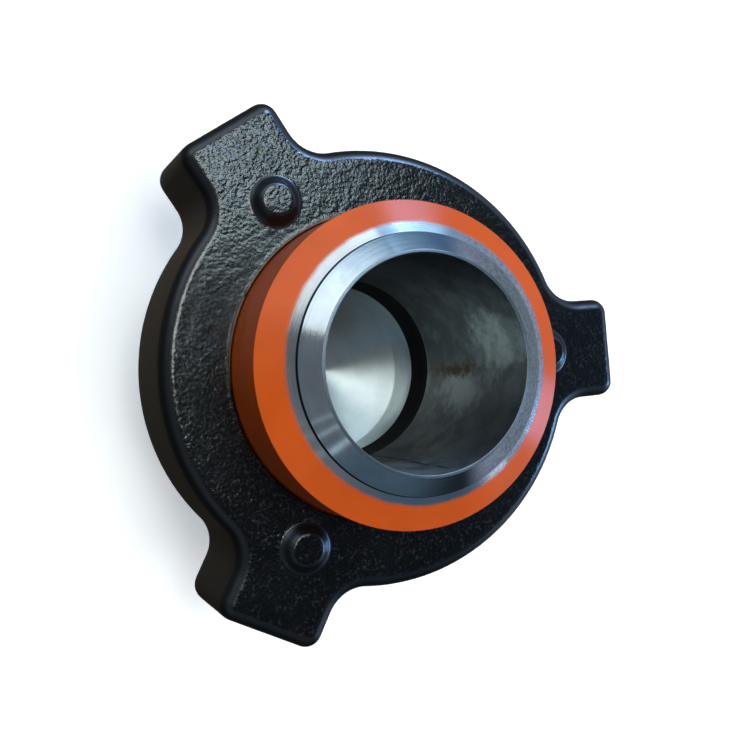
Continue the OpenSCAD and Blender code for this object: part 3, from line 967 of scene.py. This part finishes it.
class UNION_OT_stage(bpy.types.Operator):
    """Lay the floor, hang the soft lights and set up the camera"""

    bl_idname = "union.stage"
    bl_label = "Stage"

    def execute(self, context):
        scene = context.scene
        w = FLOOR_HALF
        mesh = bpy.data.meshes.new("studio_floor")
        corners = [(-w, -w, 0), (w, -w, 0), (w, w, 0), (-w, w, 0)]
        mesh.from_pydata(corners, [], [(0, 1, 2, 3)])
        mesh.materials.append(pale_floor(scene.union_colours))
        floor = bpy.data.objects.new("studio_floor", mesh)
        scene.collection.objects.link(floor)
        floor.visible_diffuse = floor.visible_glossy = False

        scene.world = studio_world()
        scene.view_settings.view_transform = "Standard"
        lamps = [panel(*values) for values in PANELS] + [level(*values) for values in LEVELS]
        for light in lamps:
            light.visible_diffuse = light.name not in ONLY_GLOSS
            light.visible_glossy = light.name not in NO_GLOSS

        data = bpy.data.cameras.new("view")
        data.lens, data.sensor_width = VIEW_LENS, VIEW_SENSOR
        data.shift_x, data.shift_y = VIEW_SHIFT
        data.clip_start, data.clip_end = 0.01, 50.0
        camera = bpy.data.objects.new("view", data)
        camera.location = VIEW_PLACE
        camera.rotation_euler = [math.radians(d) for d in VIEW_TURN]
        scene.collection.objects.link(camera)
        scene.camera = camera
        return {"FINISHED"}


def studio_world():
    """A dim room for gloss and shade, which the camera itself sees as a plain pale backdrop.

    X, Y and Z are the way that a ray goes. Below the horizon is the ground, brighter far along
    X. Above it come a low wall, which turns blue along Y and pale along X, then a middle wall
    that darkens along X, and a dark ceiling.
    """
    f = Finish(bpy.data.worlds.new("studio"), "Generated", "ShaderNodeOutputWorld")
    shade = f.mix(f.y.over(-0.4, 0.4), (0.035, 0.032, 0.026), (0.115, 0.100, 0.083))
    ground = f.mix(f.x.over(0.58, 0.86), shade, (0.29, 0.35, 0.42))
    low = f.mix(f.z.over(0.12, 0.30), (0.020, 0.028, 0.035), (0.11, 0.18, 0.25))
    blue = f.mix(f.z.over(0.05, 0.50), (0.09, 0.20, 0.38), (0.60, 0.93, 1.25))
    low = f.mix(f.y.over(0.30, 0.65), low, blue)
    low = f.mix(f.x.over(0.60, 0.80), low, (0.55, 0.64, 0.88))
    middle = f.mix(f.x.over(-0.5, 0.6), (0.26, 0.29, 0.32), (0.08, 0.155, 0.25))
    wall = f.mix(f.z.over(0.46, 0.64), low, middle)
    wall = f.mix(f.z.over(0.78, 0.90), wall, (0.022, 0.030, 0.042))
    room = f.mix(f.z.over(-0.06, 0.02), ground, wall)
    dim = f.node("ShaderNodeBackground", inputs={"Color": room})
    pale = f.node("ShaderNodeBackground", inputs={"Color": BACKDROP})
    seen = f.node("ShaderNodeLightPath").outputs["Is Camera Ray"]
    both = f.node("ShaderNodeMixShader", inputs={0: seen, 1: dim.outputs[0], 2: pale.outputs[0]})
    return f.done(both.outputs[0])


def lamp(name, place, aim, width, depth, brightness, tint):
    """A soft panel at a place, facing along aim.

    Its power is brightness times pi times its area, so a mirror would show it at brightness.
    """
    data = bpy.data.lights.new(name, "AREA")
    data.shape, data.size, data.size_y = "RECTANGLE", width, depth
    data.energy, data.color = brightness * math.pi * width * depth, tint
    light = bpy.data.objects.new(name, data)
    turn = Vector(aim).to_track_quat("-Z", "Y").to_matrix().to_4x4()
    light.matrix_world = Matrix.Translation(place) @ turn
    bpy.context.scene.collection.objects.link(light)
    return light


def panel(name, bearing, height, width, depth, brightness, tint):
    """A soft panel seen from the union at a bearing and a height, in degrees, facing it."""
    b, h = math.radians(bearing), math.radians(height)
    way = Vector((math.cos(h) * math.cos(b), math.cos(h) * math.sin(b), math.sin(h)))
    place = Vector((0, 0, PANEL_AIM)) + way * PANEL_DISTANCE
    return lamp(name, place, -way, width, depth, brightness, tint)


def level(name, place, width, depth, brightness, tint):
    """A soft panel that hangs level, width along X and depth along Y, and faces the floor."""
    return lamp(name, Vector(place), (0, 0, -1), width, depth, brightness, tint)


class UNION_PT_panel(bpy.types.Panel):
    """Lists the steps that build the union"""

    bl_label = "Hammer Union"
    bl_idname = "UNION_PT_panel"
    bl_space_type = "VIEW_3D"
    bl_region_type = "UI"
    bl_category = "Hammer Union"

    def draw(self, context):
        """A button for each step, then a box for each group of sizes and the colours."""
        for step in STEPS:
            self.layout.operator(step.bl_idname)
        for key, _ in GROUPS:
            group = getattr(context.scene, key)
            box = self.layout.box()
            box.label(text=group.__doc__ or key)
            for prop in group.__annotations__:
                box.prop(group, prop)


STEPS = (UNION_OT_blank_female_sub, UNION_OT_seal_ring, UNION_OT_male_sub, UNION_OT_wing_nut,
         UNION_OT_stage)
GROUPS = (("union_thread", ThreadSizes), ("union_blank", BlankSubSizes),
          ("union_seal", SealSizes), ("union_male", MaleSubSizes),
          ("union_nut", WingNutSizes), ("union_colours", UnionColours))


def register():
    """Adds the sizes and colours, the operators and the panel."""
    for _, group in GROUPS:
        bpy.utils.register_class(group)
    for cls in (*STEPS, UNION_PT_panel):
        bpy.utils.register_class(cls)
    for key, group in GROUPS:
        setattr(bpy.types.Scene, key, PointerProperty(type=group))


def unregister():
    """Takes away what register added."""
    for key, _ in GROUPS:
        delattr(bpy.types.Scene, key)
    for cls in (UNION_PT_panel, *reversed(STEPS)):
        bpy.utils.unregister_class(cls)
    for _, group in reversed(GROUPS):
        bpy.utils.unregister_class(group)


def main():
    """Builds everything."""
    register()
    bpy.ops.union.stage()
    bpy.ops.union.blank_female_sub()
    bpy.ops.union.seal_ring()
    bpy.ops.union.male_sub()
    bpy.ops.union.wing_nut()


if __name__ == "__main__":
    main()
